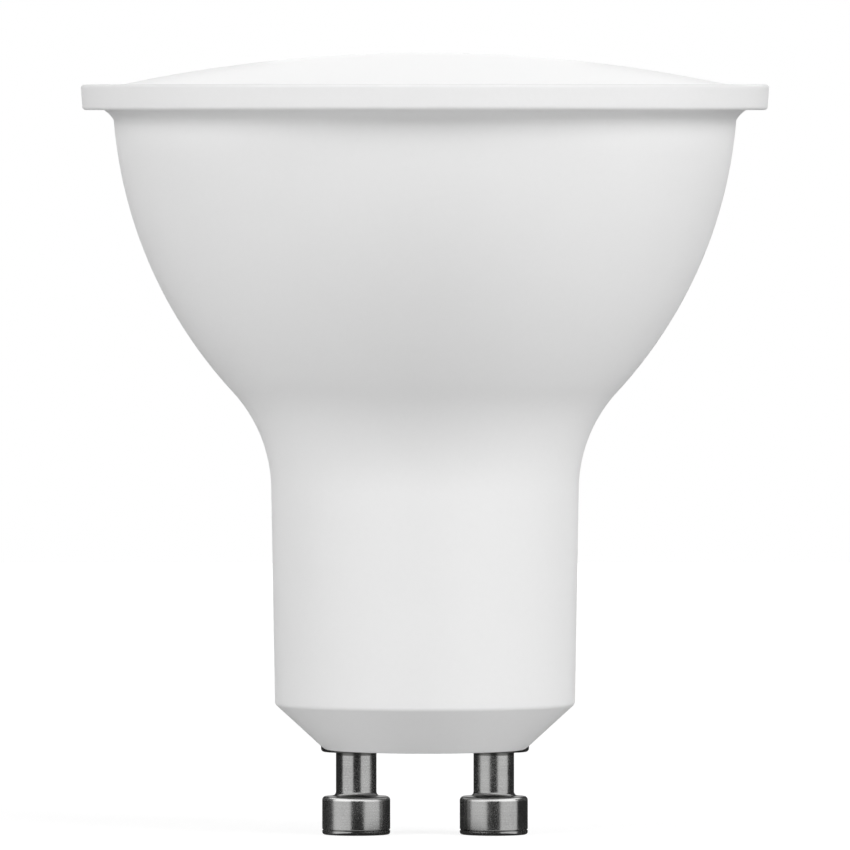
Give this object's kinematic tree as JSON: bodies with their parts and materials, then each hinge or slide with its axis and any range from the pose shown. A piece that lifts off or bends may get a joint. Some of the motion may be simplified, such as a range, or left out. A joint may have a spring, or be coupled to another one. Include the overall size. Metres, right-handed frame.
{
  "type": "gu10 spotlight bulb",
  "caption": "Reflector spotlight bulb with a white bell-shaped plastic housing, flat rim, opal domed cover and two headed contact pins on a conical base.",
  "frame": {"origin": "middle of the base's flat seat, between the two pins", "axes": "+Z along the lamp from the seat to the front cover; the two pins lie along X"},
  "size_m": [0.05, 0.05, 0.0568],
  "materials": {
    "white_plastic": "smooth satin moulded plastic",
    "opal_plastic": "opal satin plastic that spreads the light",
    "drawn_aluminium": "drawn, satin",
    "grey_silicone": "soft silicone",
    "white_board": "white solder resist on metal",
    "white_phosphor": "moulded package with a phosphor well",
    "zinc_steel": "bright zinc",
    "green_board": "solder resist on laminate",
    "sleeved_can": "heat-shrunk sleeve",
    "dark_ferrite": "ferrite with an enamelled coil",
    "yellow_film_case": "moulded case",
    "black_package": "moulded package",
    "green_resistor": "flameproof lacquer",
    "nickel_pin": "turned brass, nickel plated",
    "tinned_wire": "tinned copper",
    "red_wire": "insulated wire",
    "black_wire": "insulated wire"
  },
  "bodies": {
    "root": {"board_screws": "zinc_steel", "bridge_rectifier": "black_package", "diffuser_cover": "opal_plastic", "driver_board": "green_board", "driver_chip": "black_package", "drum_choke": "dark_ferrite", "film_capacitor": "yellow_film_case", "fusible_resistor": "green_resistor", "heat_sink": "drawn_aluminium", "housing": "white_plastic", "led_board": "white_board", "led_package_01": "white_phosphor", "led_package_02": "white_phosphor", "led_package_03": "white_phosphor", "led_package_04": "white_phosphor", "led_package_05": "white_phosphor", "led_package_06": "white_phosphor", "led_package_07": "white_phosphor", "led_package_08": "white_phosphor", "led_package_09": "white_phosphor", "led_package_10": "white_phosphor", "led_package_11": "white_phosphor", "led_package_12": "white_phosphor", "led_wire_black": "black_wire", "led_wire_red": "red_wire", "pin_left": "nickel_pin", "pin_right": "nickel_pin", "pin_wire_left": "tinned_wire", "pin_wire_right": "tinned_wire", "smoothing_capacitor": "sleeved_can", "thermal_pad": "grey_silicone"}
  },
  "joints": []
}
